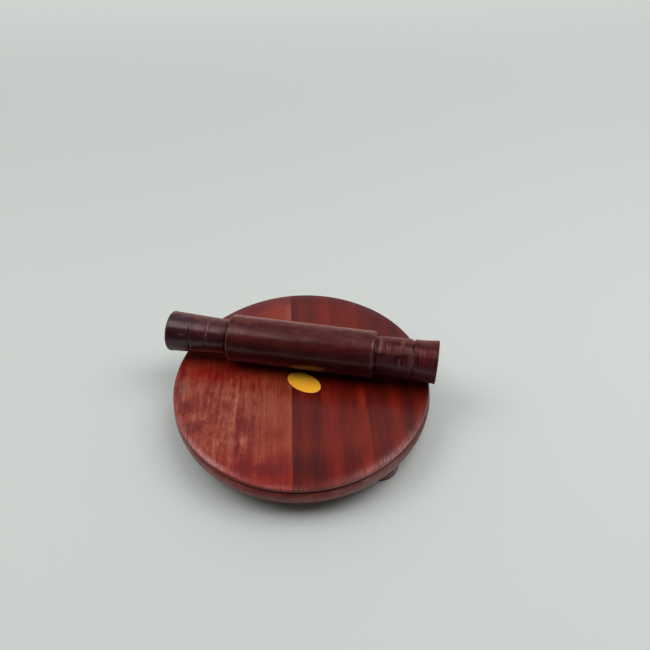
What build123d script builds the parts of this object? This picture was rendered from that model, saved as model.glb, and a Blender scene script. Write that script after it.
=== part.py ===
from build123d import *
import math
import os

os.makedirs("parts", exist_ok=True)

# Round rolling board on three feet, with a loose rolling pin lying across it.
# Millimetres, +Z up, +Y away from the user. The origin is on the board's centre line,
# at the level of the surface that the feet stand on.

# Board, upper layer
lip_radius = 113.0  # edge of the upper layer
top_thickness = 5.7
edge_fall_width = 9.0  # the upper face falls away softly over this width at its edge
edge_fall = 1.2  # by this much, before the rounding
edge_round = 1.3
groove_depth = 2.2  # groove between the layers, measured inwards from the lip
groove_height = 1.8  # and upwards from the glue line
top_joint_x = -8.5  # glued joint between the two upper planks

# Board, lower layer
base_thickness = 15.8
rim_overhang = 1.2  # widest line of the lower layer, beyond the lip
rim_top_inset = 1.8  # upper edge, inwards from the widest line
rim_top_drop = 5.8  # widest line, below the upper edge
rim_top_round = 0.5
underside_inset = 2.7  # lower edge, inwards from the widest line
underside_round = 0.8
base_joint_x = -2.0  # glued joint between the two lower planks

# Feet
foot_height = 16.0
foot_top_radius = 18.0
foot_bottom_radius = 17.4
foot_edge_round = 1.0
foot_edge_margin = 0.2  # kept between a foot and the rounded lower edge of the board
foot_line_height = 9.5  # turned line round each foot
foot_line_radius = 0.5
foot_places = ("front_right", "back_right", "left")  # evenly spaced, counter-clockwise from above
first_foot_angle = -47.0  # of the front right foot

# Foot screws
screw_shank_radius = 2.0
screw_head_radius = 4.0
screw_head_height = 2.6
screw_head_round = 1.2
screw_length = 20.0  # under the head
screw_point_length = 4.0
screw_slot_length = 4.6
screw_slot_width = 1.1
screw_slot_depth = 1.4
screw_pocket_depth = 5.0  # from the foot's lower face to the seat of the head
screw_hole_clearance = 0.2  # round the shank in the foot
screw_pocket_clearance = 0.6  # round the head
screw_bite_clearance = 0.05  # round the shank and beyond the point in the board

# Label
label_length = 32.8
label_width = 19.2
label_thickness = 0.15
label_center = (2.3, -4.9)
label_angle = -35.0

# Rolling pin, measured along its axis from the middle of its length
pin_length = 242.0
barrel_left_end = -63.3
barrel_right_end = 67.4
barrel_radius = 21.2  # at its left end
barrel_taper = 0.4  # less at its right end
barrel_edge_round = 2.8
left_shoulder = 5.5  # step down from the barrel to the left handle
left_flare = 2.6  # the left handle grows by this towards its end
left_end_round = 3.4
right_shoulder = 4.1  # step down from the barrel to the right handle
right_swell = 0.85  # the right handle's swelling, over its narrowest part
right_swell_from_barrel = 12.0
right_waist = 1.0
right_waist_from_barrel = 35.0
right_flare = 2.35
right_end_round = 0.8
end_mark_radius = 1.6  # mark of the lathe's centre in each end
end_mark_depth = 1.4

# Turned grooves of the handles: distance from the pin's end, and radius of the cut
left_grooves = ((24.0, 0.6), (39.3, 0.4), (56.3, 0.8))
right_grooves = ((21.5, 1.0), (30.7, 0.35), (42.7, 0.3), (48.8, 0.4))

# Where the pin lies
pin_offset_y = 19.6  # middle of the pin, behind the board's centre
pin_angle = -12.9  # its right end is nearer to the user
pin_seat_gap = 0.2

# Levels and radii that follow from the sizes above
underside_z = foot_height
glue_z = underside_z + base_thickness
top_z = glue_z + top_thickness
rim_radius = lip_radius + rim_overhang
underside_radius = rim_radius - underside_inset
foot_circle_radius = underside_radius - underside_round - foot_edge_margin - foot_top_radius
foot_angles = [first_foot_angle + i * 360 / len(foot_places) for i in range(len(foot_places))]
screw_seat_z = screw_pocket_depth
screw_face_z = screw_seat_z - screw_head_height


def foot_center(angle):
    """Point under a foot's middle, on the surface that the board stands on."""
    turn = math.radians(angle)
    return Vector(foot_circle_radius * math.cos(turn), foot_circle_radius * math.sin(turn), 0)


def facing_down(center, height):
    """Plane at a height over a foot's middle, seen from below."""
    return Plane(origin=(center.X, center.Y, height), z_dir=(0, 0, -1))


def upright(center):
    """Plane of a foot's section: local X runs outwards from its axis, local Y upwards."""
    return Plane(origin=center, x_dir=(1, 0, 0), z_dir=(0, -1, 0))


def save(piece, name):
    piece.part.label = name
    export_step(piece.part, f"parts/{name}.step")


# Section of the upper layer: a worn upper edge, and an undercut over the glue line
with BuildSketch(Plane.XZ) as top_section:
    with BuildLine():
        worn_edge = TangentArc(
            (lip_radius - edge_fall_width, top_z),
            (lip_radius, top_z - edge_fall),
            tangent=(1, 0),
        )
        Polyline(
            worn_edge @ 0,
            (0, top_z),
            (0, glue_z),
            (lip_radius - groove_depth, glue_z),
            (lip_radius, glue_z + groove_height),
            worn_edge @ 1,
        )
    make_face()
    fillet(top_section.vertices().group_by(Axis.X)[-1].sort_by(Axis.Y)[-1], edge_round)

# Section of the lower layer: the side swells to its widest line and draws in again to both edges
with BuildSketch(Plane.XZ) as base_section:
    with BuildLine():
        widest = (rim_radius, glue_z - rim_top_drop)
        upper_edge = (rim_radius - rim_top_inset, glue_z)
        lower_edge = (underside_radius, underside_z)
        Polyline(upper_edge, (0, glue_z), (0, underside_z), lower_edge)
        TangentArc(widest, lower_edge, tangent=(0, -1))
        TangentArc(widest, upper_edge, tangent=(0, 1))
    make_face()
    fillet(base_section.vertices().group_by(Axis.Y)[0].sort_by(Axis.X)[-1], underside_round)
    fillet(base_section.vertices().group_by(Axis.Y)[-1].sort_by(Axis.X)[-1], rim_top_round)

for side, kept in (("left", Keep.BOTTOM), ("right", Keep.TOP)):
    with BuildPart() as top_plank:
        revolve(top_section.sketch, axis=Axis.Z)
        split(bisect_by=Plane.YZ.offset(top_joint_x), keep=kept)
    save(top_plank, f"top_plank_{side}")

    with BuildPart() as base_plank:
        revolve(base_section.sketch, axis=Axis.Z)
        for angle in foot_angles:
            with Locations(facing_down(foot_center(angle), underside_z)):
                Hole(
                    screw_shank_radius + screw_bite_clearance,
                    depth=screw_seat_z + screw_length + screw_bite_clearance - underside_z,
                )
        split(bisect_by=Plane.YZ.offset(base_joint_x), keep=kept)
    save(base_plank, f"base_plank_{side}")

for place, angle in zip(foot_places, foot_angles):
    center = foot_center(angle)
    axis = Axis(center, (0, 0, 1))

    # A turned foot, narrower at the bottom, with a line round it and a pocket for its screw
    with BuildPart() as foot:
        with BuildSketch(upright(center)) as foot_section:
            with BuildLine():
                foot_side = Line((foot_bottom_radius, 0), (foot_top_radius, foot_height))
                Polyline(foot_side @ 0, (0, 0), (0, foot_height), foot_side @ 1)
            make_face()
            fillet(foot_section.vertices().group_by(Axis.Y)[0].sort_by(Axis.X)[-1], foot_edge_round)
            with Locations(foot_side @ (foot_line_height / foot_height)):
                Circle(foot_line_radius, mode=Mode.SUBTRACT)
        revolve(axis=axis)
        with Locations(facing_down(center, 0)):
            CounterBoreHole(
                radius=screw_shank_radius + screw_hole_clearance,
                counter_bore_radius=screw_head_radius + screw_pocket_clearance,
                counter_bore_depth=screw_pocket_depth,
                depth=foot_height,
            )
    save(foot, f"foot_{place}")

    # A wood screw with a rounded head and a crossed slot, seated in the foot's pocket
    with BuildPart() as screw:
        with BuildSketch(upright(center)) as screw_section:
            with BuildLine():
                Polyline(
                    (0, screw_face_z),
                    (screw_head_radius, screw_face_z),
                    (screw_head_radius, screw_seat_z),
                    (screw_shank_radius, screw_seat_z),
                    (screw_shank_radius, screw_seat_z + screw_length - screw_point_length),
                    (0, screw_seat_z + screw_length),
                    close=True,
                )
            make_face()
            fillet(screw_section.vertices().group_by(Axis.Y)[0].sort_by(Axis.X)[-1], screw_head_round)
        revolve(axis=axis)
        with BuildSketch(facing_down(center, screw_face_z)):
            Rectangle(screw_slot_length, screw_slot_width)
            Rectangle(screw_slot_width, screw_slot_length)
        extrude(amount=-screw_slot_depth, mode=Mode.SUBTRACT)
    save(screw, f"foot_screw_{place}")

# Thin oval label on the upper face
with BuildPart() as oval_label:
    with BuildSketch(Plane.XY.offset(top_z)):
        with Locations(label_center):
            Ellipse(label_length / 2, label_width / 2, rotation=label_angle)
    extrude(amount=label_thickness)
save(oval_label, "oval_label")

# The rolling pin's section: local X runs along its axis from the middle, local Y is the radius
pin_turn = math.radians(pin_angle)
pin_direction = Vector(math.cos(pin_turn), math.sin(pin_turn), 0)
pin_origin = Vector(0, pin_offset_y, top_z + pin_seat_gap + barrel_radius)
pin_plane = Plane(origin=pin_origin, x_dir=pin_direction, z_dir=pin_direction.cross(Vector(0, 0, 1)))
left_end = -pin_length / 2
right_end = pin_length / 2
barrel_right_radius = barrel_radius - barrel_taper
left_neck_radius = barrel_radius - left_shoulder
right_neck_radius = barrel_right_radius - right_shoulder
shoulder_round = min(barrel_edge_round, 0.9 * left_shoulder, 0.9 * right_shoulder)
left_outline = Line((left_end, left_neck_radius + left_flare), (barrel_left_end, left_neck_radius))
right_outline = Spline(
    (right_end, right_neck_radius + right_flare),
    (barrel_right_end + right_waist_from_barrel, right_neck_radius + right_waist),
    (barrel_right_end + right_swell_from_barrel, right_neck_radius + right_swell),
    (barrel_right_end, right_neck_radius),
)

with BuildPart() as rolling_pin:
    with BuildSketch(pin_plane) as pin_section:
        with BuildLine():
            add(left_outline)
            add(right_outline)
            Polyline(
                left_outline @ 1,
                (barrel_left_end, barrel_radius),
                (barrel_right_end, barrel_right_radius),
                right_outline @ 1,
            )
            Polyline(
                left_outline @ 0,
                (left_end, end_mark_radius),
                (left_end + end_mark_depth, 0),
                (right_end - end_mark_depth, 0),
                (right_end, end_mark_radius),
                right_outline @ 0,
            )
        make_face()
        fillet(pin_section.vertices().sort_by(Axis.Y)[-2:], shoulder_round)
        fillet(pin_section.vertices().group_by(Axis.X)[0].sort_by(Axis.Y)[-1], left_end_round)
        fillet(pin_section.vertices().group_by(Axis.X)[-1].sort_by(Axis.Y)[-1], right_end_round)
        for outline, grooves in ((left_outline, left_grooves), (right_outline, right_grooves)):
            for from_end, cut_radius in grooves:
                with Locations(outline @ (from_end / outline.length)):
                    Circle(cut_radius, mode=Mode.SUBTRACT)
    revolve(axis=Axis(pin_origin, pin_direction))
save(rolling_pin, "rolling_pin")
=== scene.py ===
import bpy
import math
from mathutils import Matrix, Vector, noise


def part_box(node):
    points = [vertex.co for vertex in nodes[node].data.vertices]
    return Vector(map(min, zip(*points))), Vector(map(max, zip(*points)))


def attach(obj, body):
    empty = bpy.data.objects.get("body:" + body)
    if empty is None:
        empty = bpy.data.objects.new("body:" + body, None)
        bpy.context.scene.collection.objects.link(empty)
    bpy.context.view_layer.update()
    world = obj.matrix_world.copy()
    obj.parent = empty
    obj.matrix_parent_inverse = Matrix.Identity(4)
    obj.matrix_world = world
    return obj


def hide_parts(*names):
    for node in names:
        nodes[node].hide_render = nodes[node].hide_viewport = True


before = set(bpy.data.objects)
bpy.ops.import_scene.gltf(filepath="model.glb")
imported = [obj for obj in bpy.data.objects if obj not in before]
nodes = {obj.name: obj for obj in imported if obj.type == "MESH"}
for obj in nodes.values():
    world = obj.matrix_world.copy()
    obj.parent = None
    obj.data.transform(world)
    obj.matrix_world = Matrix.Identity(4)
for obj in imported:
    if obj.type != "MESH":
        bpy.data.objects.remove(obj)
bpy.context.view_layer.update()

# A millimetre in metres: the scene is in metres, and the part's sizes here are in millimetres
MM = 0.001

# Camera, in metres and degrees, fitted to the photograph
CAMERA_PLACE = (0.0112, -0.3817, 0.4739)
CAMERA_YAW = 1.63
CAMERA_PITCH = 44.21
CAMERA_ROLL = -1.30
CAMERA_LENS = 36.0  # and a sensor as wide

# Floor
FLOOR_SIZE = 6.0
FLOOR_COLOUR = (0.575, 0.60, 0.578)
FLOOR_ROUGHNESS = 0.7
FLOOR_SPECULAR = 0.15

# Softboxes: name, middle in x and y, width in x and y, radiance, spread in degrees.
# The third has a grid and lights only the far part of the floor.
LAMP_HEIGHT = 1.2
LAMPS = (
    ("left_softbox", (-0.865, 0.03), (1.07, 0.78), 3.15, 180.0),
    ("right_softbox", (0.80, 0.03), (1.36, 0.78), 3.38, 180.0),
    ("far_softbox", (0.0, 1.55), (3.2, 1.1), 0.62, 76.0),
)

# Room: dark on the camera's side, pale above and behind. The camera itself sees it evenly pale.
ROOM_COLOUR = (0.96, 0.99, 0.98)
ROOM_FRONT = 0.06
ROOM_BACK = 0.65
ROOM_SEEN = 0.60
ROOM_EDGE = 71.0  # degrees by which the middle of the pale side leans back from straight up
ROOM_BLEND = (-0.10, 0.12)

# Varnished wood
FIBRE_SHEEN = 0.45  # share of the light that the fibres throw back in their own colour
FIBRE_ROUGHNESS = 0.20  # over that of the varnish
VARNISH_IOR = 1.37

# Board: where the upper planks begin to show behind the pin, the joint between them, and the
# painted shade on the upright edge under the lip
BEHIND_PIN = (36, 60)
JOINT_X = -8.5
PAINTED_EDGE_SHADE = (0.075, 0.0070, 0.0075)
EDGE_BLEND = 0.8

# Label
LABEL_CENTER = (2.3, -4.9, 0.0)
LABEL_ANGLE = -35.0
LABEL_LENGTH = 32.8
LABEL_WIDTH = 19.2

# Pin, as the CAD node has it. Places along its axis are measured from the middle of its length.
PIN_ANGLE = -12.9
PIN_MIDDLE = (0.0, 19.6, 58.9)
LEFT_END = -121.0
RIGHT_END = 121.0
BARREL_LEFT = -63.3
BARREL_RIGHT = 67.4
BARREL_LEFT_RADIUS = 21.2
BARREL_RIGHT_RADIUS = 20.8
BARREL_ROUND = 2.8
LEFT_NECK_RADIUS = 15.7
LEFT_END_RADIUS = 18.3
LEFT_END_ROUND = 3.4
RIGHT_END_ROUND = 0.8
END_MARK_RADIUS = 1.6
END_MARK_DEPTH = 1.4
# Right handle: places along the axis and radii
RIGHT_HANDLE = ((67.4, 16.7), (79.4, 17.55), (102.4, 17.7), (121.0, 19.05))
# Turned grooves: place along the axis, half width, depth
GROOVES = (
    (-97.0, 0.95, 0.35),
    (-81.7, 0.7, 0.25),
    (-64.7, 0.95, 0.70),
    (99.5, 1.2, 0.95),
    (90.3, 0.45, 0.35),
    (78.3, 0.4, 0.3),
    (72.2, 0.5, 0.4),
)

# Pin, what the hand and use leave on it
LEFT_END_SLANT = 1.2  # the top of the left end is sawn this much shorter
RIGHT_END_SLANT = 0.5  # and so is the bottom of the right end
SLANT_REACH = 8.0  # length over which the slant fades
BROAD_DENTS = 0.10
LATHE_RIPPLE = 0.05
GROOVE_UNEVENNESS = 0.45
UNDERSIZE = 0.02

# Pin, fineness of its mesh
PIN_SIDES = 144
FINE_STEP = 0.13  # at the grooves
FINE_MARGIN = 0.35  # beside them
COARSE_STEP = 0.8

# Left plank, patches that took the stain: x, y, half x, half y, how much darker
LEFT_DARK = (
    (-80, 8, 9.5, 10, 0.30), (-91, 13, 3, 11, 0.22), (-67, -29, 8, 8, 0.24), (-88, -22, 7, 8.5, 0.20),
    (-99, -26, 7, 6, 0.22), (-91, -48, 7, 8, 0.26), (-47, -48, 8.5, 9, 0.24), (-52, -33, 3.5, 5, 0.16),
    (-22, -60, 8, 6, 0.44), (-53, -72, 3.5, 5, 0.24), (-36, -90, 15, 7, 0.16), (-48.5, -92, 7, 6.5, 0.34),
    (-26.5, -95, 9, 5.5, 0.40), (-19, -83, 7, 5, 0.22), (-44.5, -8, 2.5, 6.5, 0.20),
    (-29, -9, 3.5, 5.5, 0.18), (-15, -13, 4, 4, 0.10), (-74.5, -35, 2.5, 3.5, 0.16), (-58, 6, 2.5, 8, 0.14),
    (-45, 93, 10, 9, 0.22), (-60, 84, 8, 7, 0.12), (-13, -86, 5, 9, 0.14), (-40, -60, 2.2, 9, 0.16),
)
# Left plank, paler streaks and worn places
LEFT_LIGHT = (
    (-84.3, 10.5, 0.9, 7, 0.30), (-97, -12, 2.5, 5, 0.12), (-55.3, -8, 1.4, 17, 0.18),
    (-56, -22, 2.2, 6, 0.18), (-62.3, 3, 0.9, 9, 0.14), (-25.6, -13, 0.5, 9, 0.28),
    (-48.2, -65, 3, 7, 0.30), (-34.5, -84, 4.5, 5.5, 0.28), (-32, -33, 10, 14, 0.08),
    (-18, -38, 7, 14, 0.10), (-80, -20, 1.3, 4, 0.14), (-87.5, -26, 1.3, 4.5, 0.14),
    (-65, -55, 2.4, 12, 0.10), (-13, 85, 3.5, 22, 0.10), (-10, -60, 1.6, 42, 0.12), (-10, 80, 1.3, 16, 0.22),
)
# Left plank, patches that are more purple
LEFT_PURPLE = (
    (-27, -93, 12, 7, 0.50), (-47, -91, 10, 7, 0.40), (-14, -89, 6, 8, 0.25), (-91, -48, 7, 8, 0.45),
    (-99, -26, 7, 6, 0.4), (-45, 94, 10, 8, 0.5), (-66, -31, 6, 6, 0.3), (-47, -50, 7, 7, 0.3),
    (-108, 2, 3, 26, 0.6),
)
# Left plank, where the worn specks and the dark dots lie
LEFT_SPECKS = ((-66, -60, 5, 16, 0.30), (-27, -52, 3, 9, 0.2))
LEFT_DOTS = ((-63, -62, 6, 16, 0.28), (-33, -70, 6, 14, 0.16), (-74, -44, 6, 16, 0.16))

# Right plank, bands of the grain: x where each begins, its tone, softness of the edge
RIGHT_START = 0.30
RIGHT_BANDS = (
    (-5.0, 0.38, 1.5), (-1.5, 0.54, 1.5), (5.0, 0.46, 2.0), (8.0, 0.32, 1.5), (12.0, 0.38, 1.5),
    (16.5, 0.60, 1.8), (21.0, 0.66, 2.0), (29.0, 0.56, 1.5), (31.5, 0.42, 1.0), (35.0, 0.46, 1.5),
    (40.5, 0.54, 1.2), (46.5, 0.68, 1.2), (50.0, 0.74, 1.2), (55.3, 0.42, 1.8), (62.0, 0.35, 1.8),
    (73.0, 0.50, 2.0), (77.0, 0.60, 1.5), (83.5, 0.42, 1.8), (87.0, 0.22, 1.8), (94.5, 0.52, 1.5),
)
# Right plank, places where a band is redder or darker than the rest of it
RIGHT_MARKS = (
    (20.5, -22, 4.5, 8, 0.18), (51, -26, 3.6, 14, 0.16), (44, -34, 1.2, 10, -0.14), (79, -36, 4.5, 12, 0.14),
    (66, -47, 2, 2.5, 0.20), (44, -88, 2.5, 5, -0.14), (2, -88, 9, 12, -0.14), (14, -92, 8, 12, -0.03),
    (50.5, -92, 3.5, 8, 0.20), (27, -94, 3, 10, 0.15), (100, -50, 2.5, 10, 0.12), (6, -96, 9, 12, -0.04),
    (27, 84, 5, 14, 0.08), (36, 78, 5, 22, 0.14), (80, 64, 9, 24, -0.22), (52, 75, 3, 18, -0.08),
    (2.8, 85, 1.2, 16, 0.06), (7.5, 85, 2, 16, 0.14), (12, 85, 3, 18, 0.06), (-5, 86, 3, 20, -0.08),
    (0, -72, 3, 10, 0.08),
)

# Rolling pin, rings where the stain is worn or missing:
# along the axis, angle from the user's side upwards, half width, half angle, amount
PIN_WORN = (
    (72.0, 82, 1.7, 24, 0.70), (90.0, 92, 1.7, 14, 0.55), (88.6, 33, 1.2, 12, 0.45),
    (98.8, 40, 2.6, 20, 0.42), (-81.7, 75, 1.1, 30, 0.50), (-81.9, 44, 1.2, 14, 0.40),
    (-104.0, 39, 3.2, 2.6, 0.40), (-62.4, 50, 0.9, 60, 0.30), (65.4, 40, 1.0, 50, 0.28),
    (106.2, 66, 0.8, 34, 0.20), (109.3, 60, 0.8, 30, 0.18), (79.8, 70, 0.8, 12, 0.30),
    (84, 57, 6, 4, 0.14), (117.5, 64, 1.0, 20, 0.12), (-108, 34, 2, 2, 0.15),
)
# Rolling pin, darker lines and patches, the same way; the rings at the roots of the barrel's shoulders (-64.8
# and 68.6) are painted shade
PIN_DARK = (
    (-97.0, 82, 1.3, 34, 0.60), (-64.8, 70, 1.2, 70, 0.80), (99.6, 84, 1.3, 26, 0.90),
    (77.6, 62, 0.9, 16, 0.60), (73.5, 50, 4.0, 6, 0.80), (85.8, 42, 2.0, 14, 0.75),
    (90.5, 50, 4.5, 4.5, 0.80), (100.2, 15, 1.2, 8, 0.50), (94.4, 60, 1.2, 22, 0.45),
    (68.6, 60, 0.9, 70, 0.70), (-109, 60, 5, 40, 0.15), (104.6, 45, 1.0, 20, 0.40),
    (70.5, 8, 12, 16, 0.35), (-75, 46, 8, 6, 0.25), (10, 56, 30, 2.2, 0.30), (-30, 56.5, 26, 2.0, 0.30),
    (90.6, 34, 1.5, 9, 0.70), (104.5, 46, 3.5, 8, 0.30), (118.6, 50, 0.9, 16, 0.50),
)
# Rolling pin, redder patches, the same way
PIN_RED = (
    (30, 46, 26, 8, 0.35), (44, 58, 14, 6, 0.30), (-47, 48, 9, 7, 0.35), (-22, 46, 12, 5, 0.30),
    (-48, 98, 12, 14, 0.30), (109, 42, 5, 15, 0.50), (-76, 56, 8, 8, 0.15), (-10, 95, 34, 10, 0.20),
    (2, 40, 26, 6, 0.20), (113, 70, 7, 14, 0.25),
)


def add(name, data):
    """An object with this data, put into the scene."""
    obj = bpy.data.objects.new(name, data)
    bpy.context.scene.collection.objects.link(obj)
    return obj


def place_camera():
    """A camera at the photograph's place: right, up and back are the columns of its rotation."""
    yaw, pitch, roll = (math.radians(a) for a in (CAMERA_YAW, CAMERA_PITCH, CAMERA_ROLL))
    forward = Vector((math.sin(yaw) * math.cos(pitch), math.cos(yaw) * math.cos(pitch), -math.sin(pitch)))
    right = Vector((math.cos(yaw), -math.sin(yaw), 0))
    up = right.cross(forward)
    right_rolled = math.cos(roll) * right + math.sin(roll) * up
    up_rolled = -math.sin(roll) * right + math.cos(roll) * up
    data = bpy.data.cameras.new("camera")
    data.lens = CAMERA_LENS
    data.sensor_width = CAMERA_LENS
    data.clip_start = 0.01
    data.clip_end = 50
    camera = add("camera", data)
    turn = Matrix((right_rolled, up_rolled, -forward)).transposed()
    camera.matrix_world = Matrix.Translation(CAMERA_PLACE) @ turn.to_4x4()
    bpy.context.scene.camera = camera


class Wire:
    """A value, vector or colour in a graph of nodes. Values take ordinary arithmetic."""

    def __init__(self, graph, socket):
        self.graph = graph
        self.socket = socket

    def __add__(self, other):
        return self.graph.math("ADD", self, other)

    def __sub__(self, other):
        return self.graph.math("SUBTRACT", self, other)

    def __rsub__(self, other):
        return self.graph.math("SUBTRACT", other, self)

    def __mul__(self, other):
        return self.graph.math("MULTIPLY", self, other)

    __radd__ = __add__
    __rmul__ = __mul__


class Graph:
    """Shader nodes that are made and joined by calls."""

    def __init__(self, tree):
        self.tree = tree

    def node(self, kind, **settings):
        made = self.tree.nodes.new("ShaderNode" + kind)
        for key, value in settings.items():
            setattr(made, key, value)
        return made

    def put(self, value, socket):
        """A number, tuple or wire into a socket."""
        if isinstance(value, Wire):
            self.tree.links.new(value.socket, socket)
        else:
            socket.default_value = value

    def source(self, kind, output):
        """One output of a node that takes no input."""
        return Wire(self, self.node(kind).outputs[output])

    def math(self, operation, *values):
        made = self.node("Math", operation=operation)
        for value, socket in zip(values, made.inputs):
            self.put(value, socket)
        return Wire(self, made.outputs[0])

    def vector(self, operation, *values, scale=None, number=False):
        made = self.node("VectorMath", operation=operation)
        for value, socket in zip(values, made.inputs):
            self.put(value, socket)
        if scale is not None:
            self.put(scale, made.inputs["Scale"])
        return Wire(self, made.outputs["Value" if number else "Vector"])

    def dot(self, vector, direction):
        return self.vector("DOT_PRODUCT", vector, direction, number=True)

    def length(self, vector):
        return self.vector("LENGTH", vector, number=True)

    def parts(self, vector):
        made = self.node("SeparateXYZ")
        self.put(vector, made.inputs[0])
        return [Wire(self, socket) for socket in made.outputs]

    def joined(self, x, y, z=0.0):
        made = self.node("CombineXYZ")
        for value, socket in zip((x, y, z), made.inputs):
            self.put(value, socket)
        return Wire(self, made.outputs[0])

    def smooth(self, value, start, end, low=0.0, high=1.0):
        """From low to high as the value goes from start to end, levelling out at both."""
        made = self.node("MapRange", interpolation_type="SMOOTHSTEP")
        for item, socket in zip((value, start, end, low, high), made.inputs):
            self.put(item, socket)
        return Wire(self, made.outputs[0])

    def spot(self, place, center, half, edge=(1.4, 0.5)):
        """1 inside an ellipse in x and y, 0 well outside."""
        scale = (1 / half[0], 1 / half[1], 0.0)
        shift = (-center[0] * scale[0], -center[1] * scale[1], 0.0)
        return self.smooth(self.length(self.vector("MULTIPLY_ADD", place, scale, shift)), *edge)

    def marks(self, place, rows, strength=1.0, edge=(1.4, 0.5)):
        """Sum of soft ellipses: rows of x, y, half x, half y, amount."""
        total = None
        for x, y, half_x, half_y, amount in rows:
            mark = self.spot(place, (x, y), (half_x, half_y), edge) * (amount * strength)
            total = mark if total is None else total + mark
        return total

    def ramp(self, value, stops):
        made = self.node("ValToRGB")
        self.put(value, made.inputs[0])
        elements = made.color_ramp.elements
        while len(elements) < len(stops):
            elements.new(0.5)
        for element, (at, colour) in zip(elements, stops):
            element.position = at
            element.color = (*colour, 1)
        return Wire(self, made.outputs[0])

    def mix(self, amount, first, second):
        """The first colour, and the second where the amount is 1."""
        made = self.node("Mix", data_type="RGBA", clamp_factor=True)
        self.put(amount, made.inputs[0])
        self.put(first, made.inputs[6])
        self.put((*second, 1) if isinstance(second, tuple) else second, made.inputs[7])
        return Wire(self, made.outputs[2])


class Net(Graph):
    """The nodes of one material. Its coordinates are millimetres in the CAD's frame."""

    def __init__(self, name):
        self.material = bpy.data.materials.new(name)
        self.material.use_nodes = True
        super().__init__(self.material.node_tree)
        self.shader = self.tree.nodes["Principled BSDF"]
        self.place = self.vector("SCALE", self.source("TexCoord", "Object"), scale=1 / MM)
        self.x, self.y, self.z = self.parts(self.place)

    def noise(self, size, detail, roughness=0.5, seed=0.0, place=None):
        """Noise around 0, whose features have about the given size in millimetres."""
        scale = tuple(1 / s for s in size)
        offset = (seed * 7.31, seed * 3.17, seed * 5.73)
        made = self.node("TexNoise")
        self.put(self.vector("MULTIPLY_ADD", place or self.place, scale, offset), made.inputs["Vector"])
        self.put(1.0, made.inputs["Scale"])
        self.put(detail, made.inputs["Detail"])
        self.put(roughness, made.inputs["Roughness"])
        return Wire(self, made.outputs[0]) - 0.5

    def shade(self, name, value):
        """A number, colour or wire into the shader."""
        self.put(value, self.shader.inputs[name])

    def relief(self, height):
        """The surface's normal, from a relief whose height is in millimetres."""
        bump = self.node("Bump")
        self.put(MM, bump.inputs["Distance"])
        self.put(height, bump.inputs["Height"])
        return Wire(self, bump.outputs[0])

    def finish(self, colour, roughness, height):
        self.shade("Base Color", colour)
        self.shade("Roughness", roughness)
        self.shade("Normal", self.relief(height))
        return self.material

    def finish_varnished(self, colour, roughness, height, varnish_roughness, varnish=1.0):
        """Wood fibres that throw back some coloured light, under a thin clear varnish."""
        normal = self.relief(height)
        self.shade("Base Color", colour)
        self.shade("Roughness", roughness + FIBRE_ROUGHNESS)
        self.shade("Metallic", FIBRE_SHEEN)
        self.shade("Specular IOR Level", 0.0)
        self.shade("Normal", normal)
        self.shade("Coat Weight", varnish)
        self.shade("Coat IOR", VARNISH_IOR)
        self.shade("Coat Roughness", varnish_roughness)
        self.shade("Coat Normal", normal)
        return self.material


def flat_place(net, size, amount):
    """Where a point is on the face, pushed about by noise so that marks get uneven edges."""
    push_x = net.noise((size, size * 1.6, size), 4, 0.6, seed=11) * amount
    push_y = net.noise((size, size * 1.6, size), 4, 0.6, seed=23) * (amount * 1.6)
    return net.joined(net.x + push_x, net.y + push_y)


def rim(net):
    """Near the board's edge: darker towards the edge, paler strokes along the grain that are partly stain
    rubbed off and partly a painted highlight, and the rubbed lip, also partly a painted highlight."""
    radius = net.math("SQRT", net.x * net.x + net.y * net.y)
    strokes = net.noise((0.9, 6, 3), 3, 0.65, seed=31)
    broad = net.noise((2.2, 9, 4), 2, seed=33)
    patches = net.noise((14, 14, 14), 2, seed=37)
    dark = net.smooth(radius, 104, 111) * net.smooth(net.noise((10, 10, 10), 2, seed=8), -0.2, 0.1)
    # Strongest at the front left and front right, where the strokes also stand in for the edge's highlight
    left = net.spot(net.place, (-88, -70), (40, 36), (1.3, 0.5))
    right = net.spot(net.place, (80, -80), (40, 44), (1.3, 0.5))
    front = net.spot(net.place, (-26, -112), (26, 6), (1.4, 0.5))
    amount = left * 0.66 + right * net.smooth(net.x, 96, 56, 0.34, 0.76) + front * 0.34
    edge = net.smooth(radius + broad * 6.0 + strokes * 3.0, 106.5, 112.0)
    broken = net.smooth(strokes + broad * 0.5, -0.16, 0.14, 0.04, 1.0)
    pale_marks = edge * broken * amount * net.smooth(patches, -0.24, 0.02, 0.45, 1.0)
    # The rubbed lip, paler, partly a painted highlight along the edge
    lip = net.smooth(radius + broad * 1.2, 111.7, 112.7) * net.smooth(strokes, -0.3, 0.1, 0.5, 1.0)
    return dark, pale_marks, lip * net.smooth(net.y, 20, -40)


def far_edge(net, push, start, end):
    """The board's edge behind the pin, between the squares of two distances from its middle."""
    return net.smooth(net.x * net.x + net.y * net.y + push * 3600, start, end)


def upright_edge(net, top, side_start, side_end):
    """The upright edge under the lip: dull, and darkened by painted shade, most of all where it is seen from
    the side.
    """
    below = net.smooth(net.z, top, top - EDGE_BLEND)
    return below * net.smooth(net.x, side_start, side_end, 0.66, 0.95)


def grain_relief(net, along=30):
    """Open pores and fine ridges along the grain, in millimetres."""
    ridges = net.noise((0.8, along, 2), 3, 0.6, seed=41) * 0.03
    pores = net.smooth(net.noise((0.35, 5.0, 1.0), 1, seed=43), 0.16, 0.26)
    waves = net.noise((9, 40, 9), 1, seed=47) * 0.25
    return ridges - pores * 0.03 + waves


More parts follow.
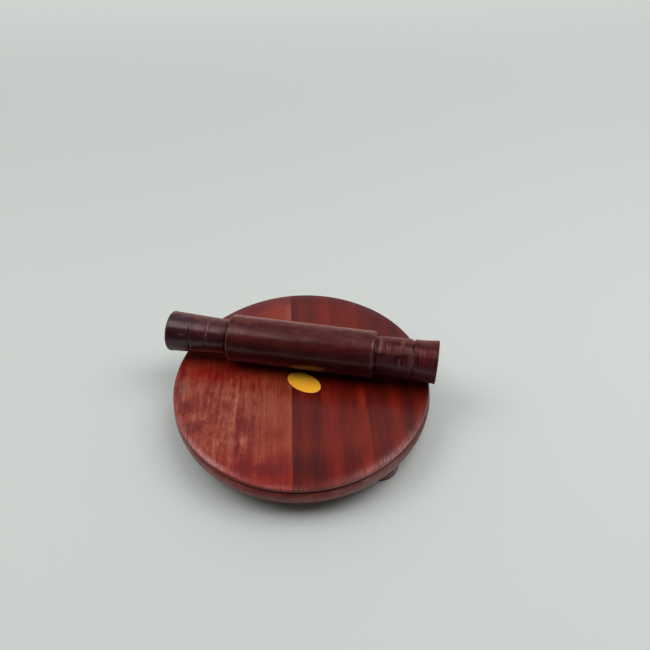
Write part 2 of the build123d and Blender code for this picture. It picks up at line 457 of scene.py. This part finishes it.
def left_tone(net, place, blotches, streaks, mottling, flames):
    """How pale the left plank is."""
    fine = net.noise((1.2, 13, 4), 3, 0.6, seed=3)
    uneven = 1 - net.smooth(net.x, -58, -38) * 0.45
    tone = net.smooth(net.y, -102, -58, 0.23, 0.53) + net.smooth(net.y, -62, -8) * 0.06
    tone = tone - net.smooth(net.y, -2, 12) * net.smooth(net.x, -98, -88) * 0.12
    tone = tone + blotches * 0.85 * uneven + streaks * 0.95 + fine * 0.40 + mottling * 0.70 * uneven
    tone = tone - net.marks(place, LEFT_DARK, 0.8, (1.7, 0.1))
    tone = tone + net.marks(place, LEFT_LIGHT, 0.9, (1.6, 0.2))

    # A straight line of the grain, paler to its left and darker to its right
    line = net.x + net.y * 0.022
    strip = net.smooth(net.x, -67, -58) * net.smooth(line, -56.4, -57.4) * net.smooth(net.y, -16, -34)
    shade = net.smooth(line, -58.2, -57.2) * net.smooth(net.x, -48, -56) * net.smooth(net.y, -24, -40)
    tone = tone + strip * 0.15 - shade * 0.16

    # Flames near the pin, worn flecks and specks, and dark dots
    flecks = net.smooth(net.noise((1.5, 3.4, 2), 3, 0.6, seed=7), 0.09, 0.20)
    specks = net.smooth(net.noise((0.8, 1.3, 1), 2, seed=5), 0.10, 0.20)
    dots = net.smooth(net.noise((0.9, 1.1, 1), 1, seed=6), 0.17, 0.24)
    flecked = net.smooth(net.y, 0, -20) * net.smooth(net.x + net.y * 0.4, -30, -60, 0.4, 1.0)
    tone = tone + flames * net.smooth(net.y, -30, -4) * 0.75
    tone = tone + flecks * flecked * 0.26
    return tone + specks * net.marks(place, LEFT_SPECKS) - dots * net.marks(place, LEFT_DOTS)


def left_top():
    """The left plank of the upper layer: pale wood that took the stain in blotches."""
    net = Net("wood_top_left")
    place = flat_place(net, 6, 10)
    blotches = net.noise((9, 15, 11), 4, 0.6, seed=1)
    streaks = net.noise((3.2, 46, 6), 3, 0.6, seed=2)
    mottling = net.noise((2.8, 4.8, 3), 3, 0.6, seed=4)
    flames = net.noise((2.6, 13, 4), 3, 0.6, seed=9)
    colour = net.ramp(left_tone(net, place, blotches, streaks, mottling, flames), (
        (0.0, (0.095, 0.0040, 0.0045)),
        (0.25, (0.175, 0.0105, 0.0080)),
        (0.50, (0.250, 0.0340, 0.0170)),
        (0.70, (0.310, 0.0640, 0.0340)),
        (0.85, (0.365, 0.0920, 0.0550)),
        (1.0, (0.440, 0.1450, 0.0980)),
    ))

    # Redder at the front and near the pin, and darker behind it with a pale streak at the joint
    red_front = net.smooth(net.y + blotches * 30, -70, -94) * 0.50
    colour = net.mix(red_front, colour, (0.255, 0.0150, 0.0090))
    # Redder and brighter near the pin: partly the wood's own red, partly painted light over the pin's shadow
    red_and_painted_light = net.smooth(net.y + blotches * 30 + flames * 40, -16, 12) * 0.50
    colour = net.mix(red_and_painted_light, colour, (0.400, 0.0190, 0.0090))
    far = net.smooth(net.y, *BEHIND_PIN)
    colour = net.mix(far * 0.84, colour, (0.178, 0.0138, 0.0130))
    beside_joint = net.smooth(net.x, -44, -22) * net.smooth(net.y, -96, -70)
    colour = net.mix(beside_joint * 0.50, colour, (0.290, 0.0400, 0.0140))
    streak = net.smooth(net.x, -16, -11) * net.smooth(net.y, 104, 92) * far
    colour = net.mix(streak * 0.45, colour, (0.350, 0.0880, 0.0560))
    colour = net.mix(far_edge(net, blotches, 8400, 11200) * far * 0.65, colour, (0.130, 0.0120, 0.0200))
    colour = net.mix(net.marks(place, LEFT_PURPLE), colour, (0.120, 0.0100, 0.0140))
    olive = net.spot(place, (-102.5, -4), (3.2, 12))
    colour = net.mix(olive * 0.55, colour, (0.205, 0.0850, 0.0450))

    dark, pale_marks, lip = rim(net)
    colour = net.mix(dark * 0.35, colour, (0.110, 0.0090, 0.0110))
    # Paler strokes and lip from the rim: partly rubbed stain, partly painted highlight
    colour = net.mix(pale_marks * 0.6, colour, (0.430, 0.2200, 0.2000))
    colour = net.mix(lip * net.smooth(net.x, -90, -50) * 0.55, colour, (0.360, 0.1000, 0.0700))
    # The upright edge under the lip: painted shade, duller and less varnished
    upright = upright_edge(net, 35.4, -40, -80)
    colour = net.mix(upright, colour, PAINTED_EDGE_SHADE)
    roughness = 0.21 + streaks * 0.20 + mottling * 0.15 + upright * 0.50
    varnish = (1 - upright) * net.smooth(net.y, -106, -72, 0.6, 1.0)
    return net.finish_varnished(colour, roughness, grain_relief(net), 0.21, varnish)


def right_top():
    """The right plank of the upper layer: dark wood in straight bands."""
    net = Net("wood_top_right")
    place = flat_place(net, 7, 3)
    fine = net.noise((0.8, 30, 3), 3, 0.6, seed=53)
    streaks = net.noise((1.9, 70, 5), 3, seed=54)
    patches = net.noise((6, 26, 9), 3, seed=55)
    across = net.x + net.noise((30, 90, 30), 2, seed=51) * 5
    across = across + net.noise((5, 40, 5), 2, seed=52) * 1.6 + net.y * 0.006
    tone = RIGHT_START
    before = RIGHT_START
    for start, level, soft in RIGHT_BANDS:
        tone = tone + net.smooth(across, start - soft, start + soft, 0.0, level - before)
        before = level
    even = 1 - net.smooth(net.y, *BEHIND_PIN) * 0.6
    tone = tone + (fine * 0.24 + streaks * 0.43) * even + patches * 0.40 + net.marks(place, RIGHT_MARKS)
    tone = tone - net.smooth(net.y, -70, -90) * 0.13
    colour = net.ramp(tone, (
        (0.0, (0.042, 0.0030, 0.0034)),
        (0.25, (0.082, 0.0046, 0.0032)),
        (0.45, (0.120, 0.0064, 0.0028)),
        (0.65, (0.160, 0.0086, 0.0028)),
        (0.85, (0.210, 0.0140, 0.0050)),
        (1.0, (0.280, 0.0380, 0.0180)),
    ))

    dark, pale_marks, lip = rim(net)
    colour = net.mix(dark * net.smooth(net.x, 60, 92, 0.25, 0.55), colour, (0.080, 0.0060, 0.0060))
    far = far_edge(net, patches, 9000, 12000) * net.smooth(net.y, 20, 50)
    colour = net.mix(far * 0.5, colour, (0.085, 0.0070, 0.0120))
    # Paler strokes and lip from the rim: partly rubbed stain, partly painted highlight
    colour = net.mix(pale_marks * 0.55, colour, (0.360, 0.1750, 0.1550))
    lip = lip * net.smooth(net.x, -8, 55, 0.25, 0.80) * net.smooth(net.x, 106, 74, 0.4, 1.0)
    colour = net.mix(lip, colour, (0.400, 0.1700, 0.1550))
    # The upright edge under the lip: painted shade, duller and less varnished
    upright = upright_edge(net, 35.2, 55, 85)
    colour = net.mix(upright, colour, PAINTED_EDGE_SHADE)
    joint = net.smooth(net.x, JOINT_X + 0.9, JOINT_X + 0.1)
    colour = net.mix(joint * 0.5, colour, (0.040, 0.0040, 0.0040))
    roughness = 0.25 + fine * 0.20 + patches * 0.20 + upright * 0.50
    varnish = (1 - upright) * net.smooth(net.y, -106, -66, 0.55, 0.92)
    return net.finish_varnished(colour, roughness, grain_relief(net, 45), 0.25, varnish)


def base_wood(name, light):
    """The side band: end grain at the front and back, long grain at the sides, both stained."""
    net = Net(name)
    patches = net.noise((11, 11, 7), 3, seed=61)
    lines = net.noise((16, 16, 0.8), 3, 0.6, seed=62)
    fine = net.noise((0.7, 2.6, 0.8), 2, seed=63)
    tone = light + patches * 1.3 + lines * 0.6 + fine * 0.4
    tone = tone + net.smooth(net.x, 20, 90) * 0.10 + net.smooth(net.x, -30, -80) * 0.36
    colour = net.ramp(tone, (
        (0.0, (0.080, 0.0080, 0.0090)),
        (0.35, (0.150, 0.0160, 0.0150)),
        (0.65, (0.210, 0.0340, 0.0280)),
        (1.0, (0.300, 0.0800, 0.0660)),
    ))
    greyed = net.smooth(net.x, 10, 70) * net.smooth(patches + lines * 0.6, -0.22, 0.22, 0.40, 0.85)
    colour = net.mix(greyed, colour, (0.290, 0.1300, 0.1260))
    # Painted shade on the band's right side, which is also duller and less varnished there
    right_side_shade = net.smooth(net.x, 58, 106)
    colour = net.mix(right_side_shade * 0.62, colour, (0.082, 0.0200, 0.0215))
    # A paler line along the band's lower edge: partly wear, partly a painted highlight
    low = net.smooth(net.z, 20.5, 18.2) * net.smooth(net.x, -40, 30, 0.3, 1.0)
    pale_marks = net.smooth(net.noise((6, 6, 1.0), 3, 0.6, seed=64), -0.16, 0.12) * low
    colour = net.mix(pale_marks * 0.5, colour, (0.290, 0.1700, 0.1600))
    # Painted shade on the band's top edge, in the groove under the lip
    groove_shade = net.smooth(net.z, 30.3, 31.4)
    colour = net.mix(groove_shade * 0.4, colour, (0.060, 0.0060, 0.0065))
    roughness = 0.26 + patches * 0.2 + fine * 0.2 + right_side_shade * 0.2
    height = lines * 0.10 + fine * 0.05
    return net.finish_varnished(colour, roughness, height, 0.26, 0.65 - right_side_shade * 0.45)


def foot_wood(name, center):
    net = Net(name)
    local = net.vector("SUBTRACT", net.place, (center[0], center[1], 0.0))
    grain = net.noise((2.0, 9, 2.0), 3, 0.6, seed=71, place=local)
    rings = net.noise((30, 30, 0.7), 2, seed=72, place=local)
    patches = net.noise((7, 7, 6), 2, seed=73, place=local)
    tone = 0.5 + grain * 0.6 + rings * 0.45 + patches * 0.7
    colour = net.ramp(tone, (
        (0.0, (0.055, 0.0090, 0.0100)),
        (0.4, (0.130, 0.0240, 0.0235)),
        (0.7, (0.185, 0.0400, 0.0360)),
        (1.0, (0.260, 0.0600, 0.0480)),
    ))
    return net.finish_varnished(colour, 0.26 + grain * 0.25, grain * 0.06 + rings * 0.05, 0.26)


def pin_directions():
    """Along the pin's axis to the right, and level across it towards the user."""
    turn = math.radians(PIN_ANGLE)
    return Vector((math.cos(turn), math.sin(turn), 0)), Vector((math.sin(turn), -math.cos(turn), 0))


def pin_wood():
    """The pin's dark stain, thinned by wear in rings, with painted shade towards the user and a painted sheen
    and highlight on top, and end grain where its ends are sawn.
    """
    net = Net("wood_pin")
    along, near = pin_directions()
    local = net.vector("SUBTRACT", net.place, PIN_MIDDLE)
    u = net.dot(local, along)
    w = net.dot(local, near)
    v = net.parts(local)[2]
    angle = net.math("ARCTAN2", v, w) * math.degrees(1)
    turned = net.joined(u, w, v)
    long_streaks = net.noise((60, 2.2, 2.2), 3, 0.6, seed=81, place=turned)
    fine = net.noise((16, 0.7, 0.7), 3, 0.6, seed=82, place=turned)
    patches = net.noise((26, 9, 9), 2, seed=83, place=turned)
    rings = net.noise((0.7, 40, 40), 2, seed=84, place=turned)
    ragged = net.noise((1.2, 1.6, 1.6), 3, 0.6, seed=85, place=turned)
    blotches = net.noise((7, 4.5, 4.5), 3, 0.6, seed=86, place=turned)
    tone = 0.42 + long_streaks * 0.5 + fine * 0.30 + patches * 0.45 + blotches * 0.55 + rings * 0.25
    colour = net.ramp(tone, (
        (0.0, (0.026, 0.0050, 0.0065)),
        (0.35, (0.056, 0.0095, 0.0105)),
        (0.60, (0.085, 0.0140, 0.0130)),
        (0.80, (0.118, 0.0220, 0.0170)),
        (1.0, (0.170, 0.0420, 0.0320)),
    ))

    # Painted shade on the side towards the user, greyer there on the right handle, and greyer on the left
    # handle and its tip
    left_part = net.smooth(u, -66, -68)
    right_part = net.smooth(u, 67, 70)
    left_tip = net.smooth(u + blotches * 8, -94, -100)
    shaded_front = net.smooth(angle, 52, 22) * net.smooth(angle, -75, -40)
    colour = net.mix(shaded_front * 0.35, colour, (0.030, 0.0070, 0.0100))
    colour = net.mix(shaded_front * right_part * 0.7, colour, (0.085, 0.0300, 0.0380))
    colour = net.mix(left_part * 0.35 + left_tip * 0.45, colour, (0.040, 0.0130, 0.0210))

    # Rings and patches with ragged edges
    where = net.joined(u + ragged * 2.4, angle + ragged * 18)
    colour = net.mix(net.marks(where, PIN_RED), colour, (0.120, 0.0115, 0.0080))
    colour = net.mix(net.marks(where, PIN_DARK), colour, (0.024, 0.0050, 0.0065))
    pale_marks = net.marks(where, PIN_WORN)
    broken = net.smooth(ragged + fine * 0.6, -0.16, 0.10)
    colour = net.mix(pale_marks * broken, colour, (0.290, 0.1150, 0.0850))

    # Painted sheen on top, and a painted highlight along the top of the barrel
    top_sheen = net.smooth(angle + blotches * 30, 84, 122) * net.smooth(angle, 176, 150)
    colour = net.mix(top_sheen * 0.34, colour, (0.240, 0.0780, 0.0640))
    crest_highlight = net.smooth(angle + blotches * 10, 106, 122) * net.smooth(angle, 172, 150)
    crest_highlight = crest_highlight * net.smooth(u, -63, -60) * net.smooth(u, 67, 64)
    colour = net.mix(crest_highlight * 0.34, colour, (0.480, 0.2600, 0.2300))

    # End grain, with its growth rings round a pith beside the middle
    facing_along = net.math("ABSOLUTE", net.dot(net.source("TexCoord", "Normal"), along))
    sawn = net.smooth(facing_along, 0.80, 0.95)
    from_pith = net.length(net.joined(w - 5.0, v + 3.0)) + patches * 5 + ragged * 0.8
    growth = net.math("SINE", from_pith * 2.4)
    end_grain = net.ramp(0.46 + growth * 0.12 + long_streaks * 0.5 + patches * 0.4, (
        (0.0, (0.038, 0.0085, 0.0085)),
        (0.5, (0.078, 0.0170, 0.0150)),
        (1.0, (0.150, 0.0450, 0.0350)),
    ))
    colour = net.mix(sawn, colour, end_grain)

    height = long_streaks * 0.06 + fine * 0.05 + rings * 0.05 + ragged * pale_marks * 0.12 + blotches * 0.10
    roughness = 0.19 + fine * 0.25 + patches * 0.30 + blotches * 0.40 + rings * 0.25 + pale_marks * 0.15
    varnish = 0.66 + left_part * 0.34 - right_part * 0.14 + blotches * 0.9 + patches * 0.5
    grazed = net.smooth(net.source("LayerWeight", "Facing"), 0.50, 0.85)
    varnish = net.math("MAXIMUM", varnish, 0.1) * (1 - grazed * 0.4) * (1 - sawn * 0.5)
    net.shade("Specular Tint", (1.0, 0.42, 0.36, 1))
    return net.finish_varnished(colour, roughness, height, 0.19, varnish)


def label_film():
    """The bare yellow label, paler at its edge."""
    net = Net("label_film")
    fibre = net.noise((1.6, 1.6, 1.6), 3, 0.6, seed=91)
    fade = net.noise((9, 9, 9), 2, seed=92)
    turn = math.radians(LABEL_ANGLE)
    local = net.vector("SUBTRACT", net.place, LABEL_CENTER)
    a = net.dot(local, (math.cos(turn), math.sin(turn), 0.0))
    b = net.dot(local, (-math.sin(turn), math.cos(turn), 0.0))
    out = net.length(net.joined(a * (2 / LABEL_LENGTH), b * (2 / LABEL_WIDTH)))
    # Brighter and yellower towards the pin: painted light where the pin's shadow falls on the label
    colour = net.ramp(net.smooth(b, -9, 9, 0.36, 0.72) + fibre * 0.5 + fade * 0.7, (
        (0.0, (0.920, 0.3300, 0.0160)),
        (0.5, (0.960, 0.4300, 0.0230)),
        (1.0, (1.000, 0.5600, 0.0420)),
    ))
    colour = net.mix(net.smooth(out, 0.93, 0.985) * 0.35, colour, (0.850, 0.5500, 0.1600))
    return net.finish(colour, 0.34 + fibre * 0.2, fibre * 0.012 + fade * 0.05)


def steel():
    net = Net("screw_steel")
    net.shade("Metallic", 1.0)
    brushed = net.noise((0.25, 4, 4), 2, seed=95)
    spots = net.noise((1.4, 1.4, 1.4), 3, seed=96)
    colour = net.ramp(0.5 + brushed * 0.5 + spots * 0.6, (
        (0.0, (0.300, 0.2900, 0.2700)),
        (1.0, (0.620, 0.6100, 0.5900)),
    ))
    return net.finish(colour, 0.36 + brushed * 0.3, brushed * 0.01)


def floor():
    h = FLOOR_SIZE / 2
    mesh = bpy.data.meshes.new("floor")
    mesh.from_pydata([(-h, -h, 0), (h, -h, 0), (h, h, 0), (-h, h, 0)], [], [(0, 1, 2, 3)])
    net = Net("floor")
    net.shade("Base Color", (*FLOOR_COLOUR, 1))
    net.shade("Roughness", FLOOR_ROUGHNESS)
    net.shade("Specular IOR Level", FLOOR_SPECULAR)
    mesh.materials.append(net.material)
    obj = add("floor", mesh)


def room():
    world = bpy.data.worlds.new("world")
    world.use_nodes = True
    graph = Graph(world.node_tree)
    background = graph.tree.nodes["Background"]
    graph.put((*ROOM_COLOUR, 1), background.inputs["Color"])
    edge = math.radians(ROOM_EDGE)
    beyond = graph.dot(graph.source("TexCoord", "Generated"), (0.0, math.sin(edge), math.cos(edge)))
    strength = graph.smooth(beyond, *ROOM_BLEND, ROOM_FRONT, ROOM_BACK)
    seen = graph.source("LightPath", "Is Camera Ray")
    graph.put(strength + seen * (ROOM_SEEN - strength), background.inputs["Strength"])
    bpy.context.scene.world = world


def softboxes():
    for name, middle, size, radiance, spread in LAMPS:
        data = bpy.data.lights.new(name, "AREA")
        data.shape = "RECTANGLE"
        data.size, data.size_y = size
        data.spread = math.radians(spread)
        data.energy = radiance * math.pi * size[0] * size[1]
        add(name, data).location = (*middle, LAMP_HEIGHT)


def arc(u, r, radius, start, end, steps):
    """Points of an arc of the pin's outline, with angles in degrees from the axis direction."""
    angles = [math.radians(start + (end - start) * i / steps) for i in range(steps + 1)]
    return [(u + radius * math.cos(a), r + radius * math.sin(a)) for a in angles]


def left_handle_radius(u):
    share = (BARREL_LEFT - u) / (BARREL_LEFT - LEFT_END)
    return LEFT_NECK_RADIUS + (LEFT_END_RADIUS - LEFT_NECK_RADIUS) * share


def barrel_radius(u):
    share = (u - BARREL_LEFT) / (BARREL_RIGHT - BARREL_LEFT)
    return BARREL_LEFT_RADIUS + (BARREL_RIGHT_RADIUS - BARREL_LEFT_RADIUS) * share


def right_handle_radius(u):
    """The right handle's radius: a cubic through its four given points."""
    total = 0.0
    for i, (ui, ri) in enumerate(RIGHT_HANDLE):
        term = ri
        for j, (uj, _) in enumerate(RIGHT_HANDLE):
            if i != j:
                term *= (u - uj) / (ui - uj)
        total += term
    return total


def stations(start, end):
    """Places along the axis: close together at the grooves, wider apart elsewhere."""
    places = []
    u = start
    while u < end:
        places.append(u)
        nearest = min(abs(u - at) - half for at, half, _ in GROOVES)
        u += FINE_STEP if nearest < FINE_MARGIN else COARSE_STEP
    places.append(end)
    return places


def pin_outline():
    """The pin's outline from its left end to its right end, as places along the axis and radii.
    Extra points close to a corner keep its shading crisp."""
    left_end_center = (LEFT_END + LEFT_END_ROUND, LEFT_END_RADIUS - LEFT_END_ROUND - 0.1)
    barrel_left_center = (BARREL_LEFT + BARREL_ROUND, BARREL_LEFT_RADIUS - BARREL_ROUND)
    barrel_right_center = (BARREL_RIGHT - BARREL_ROUND, BARREL_RIGHT_RADIUS - BARREL_ROUND)
    right_end_radius = right_handle_radius(RIGHT_END)
    right_end_center = (RIGHT_END - RIGHT_END_ROUND, right_end_radius - RIGHT_END_ROUND - 0.05)
    left_handle = stations(left_end_center[0] + 0.6, BARREL_LEFT - 0.05)
    barrel = stations(barrel_left_center[0] + 0.5, barrel_right_center[0] - 0.5)
    right_handle = stations(BARREL_RIGHT + 0.05, right_end_center[0] - 0.3)
    return [
        (LEFT_END + END_MARK_DEPTH, 0.0),
        *((LEFT_END, r) for r in (END_MARK_RADIUS, 5.0, 9.0, 12.5)),
        *arc(*left_end_center, LEFT_END_ROUND, 180, 90, 10),
        *((u, left_handle_radius(u)) for u in left_handle),
        *((BARREL_LEFT, left_handle_radius(BARREL_LEFT) + d) for d in (0.1, 1.2)),
        *arc(*barrel_left_center, BARREL_ROUND, 180, 90, 9),
        *((u, barrel_radius(u)) for u in barrel),
        *arc(*barrel_right_center, BARREL_ROUND, 90, 0, 9),
        *((BARREL_RIGHT, right_handle_radius(BARREL_RIGHT) + d) for d in (0.6, 0.05)),
        *((u, right_handle_radius(u)) for u in right_handle),
        *arc(*right_end_center, RIGHT_END_ROUND, 90, 0, 5),
        *((RIGHT_END, r) for r in (14.0, 9.0, 5.0, END_MARK_RADIUS)),
        (RIGHT_END - END_MARK_DEPTH, 0.0),
    ]


def slanted(u, height):
    """The place along the axis after the ends are sawn slanting: height is -1 at the bottom, 1 at the top."""
    if u < 0:
        return u + LEFT_END_SLANT / 2 * (1 + height) * max(0.0, 1 - (u - LEFT_END) / SLANT_REACH)
    return u - RIGHT_END_SLANT / 2 * (1 - height) * max(0.0, 1 - (RIGHT_END - u) / SLANT_REACH)


def worn_radius(u, r, angle):
    """The turned radius at a place, less its grooves and the dents and wear of use."""
    if r < END_MARK_RADIUS + 0.5:
        return r
    about = Vector((u * 0.05, math.cos(angle), math.sin(angle)))
    dent = BROAD_DENTS * (noise.noise(about * 2.0) - 0.4)
    dent += LATHE_RIPPLE * (noise.noise(Vector((u * 0.35, 0, 7))) - 0.3)
    for at, half, depth in GROOVES:
        away = (u - at) / half
        if abs(away) < 1:
            uneven = noise.noise(Vector((at, math.cos(angle) * 2.2, math.sin(angle) * 2.2)))
            dent -= depth * (1 + GROOVE_UNEVENNESS * uneven) * (1 - away * away) ** 0.5
    return r + min(dent, 0.0) - UNDERSIZE


def rolling_pin(material):
    """The pin turned on a lathe by hand: a fine mesh with uneven grooves and slightly skewed ends."""
    along, near = pin_directions()
    up = Vector((0, 0, 1))
    middle = Vector(PIN_MIDDLE)
    verts = []
    faces = []
    rings = []
    for u, r in pin_outline():
        if r == 0.0:
            rings.append([len(verts)])
            verts.append((middle + along * slanted(u, 0.0)) * MM)
            continue
        ring = []
        for k in range(PIN_SIDES):
            angle = 2 * math.pi * k / PIN_SIDES
            radius = worn_radius(u, r, angle)
            offset = near * (radius * math.cos(angle)) + up * (radius * math.sin(angle))
            ring.append(len(verts))
            verts.append((middle + along * slanted(u, offset.z / LEFT_END_RADIUS) + offset) * MM)
        rings.append(ring)
    for first, second in zip(rings, rings[1:]):
        for k in range(PIN_SIDES):
            n = (k + 1) % PIN_SIDES
            if len(first) == 1:
                faces.append((first[0], second[k], second[n]))
            elif len(second) == 1:
                faces.append((first[k], second[0], first[n]))
            else:
                faces.append((first[k], second[k], second[n], first[n]))
    mesh = bpy.data.meshes.new("turned_pin")
    mesh.from_pydata(verts, [], faces)
    mesh.polygons.foreach_set("use_smooth", [True] * len(mesh.polygons))
    mesh.set_sharp_from_angle(angle=math.radians(50))
    mesh.materials.append(material)
    mesh.update()
    pin = add("turned_pin", mesh)
    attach(pin, "pin")
    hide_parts("rolling_pin")


def paint(name, material):
    slots = nodes[name].data.materials
    slots.clear()
    slots.append(material)


place_camera()
floor()
room()
softboxes()

paint("top_plank_left", left_top())
paint("top_plank_right", right_top())
paint("base_plank_left", base_wood("wood_base_left", 0.46))
paint("base_plank_right", base_wood("wood_base_right", 0.54))
screw_material = steel()
for place in ("front_right", "back_right", "left"):
    low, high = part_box("foot_" + place)
    center = tuple((a + b) / 2 / MM for a, b in zip(low, high))
    paint("foot_" + place, foot_wood("wood_foot_" + place, center))
    paint("foot_screw_" + place, screw_material)
paint("oval_label", label_film())
rolling_pin(pin_wood())

bpy.context.scene.view_settings.view_transform = "Standard"
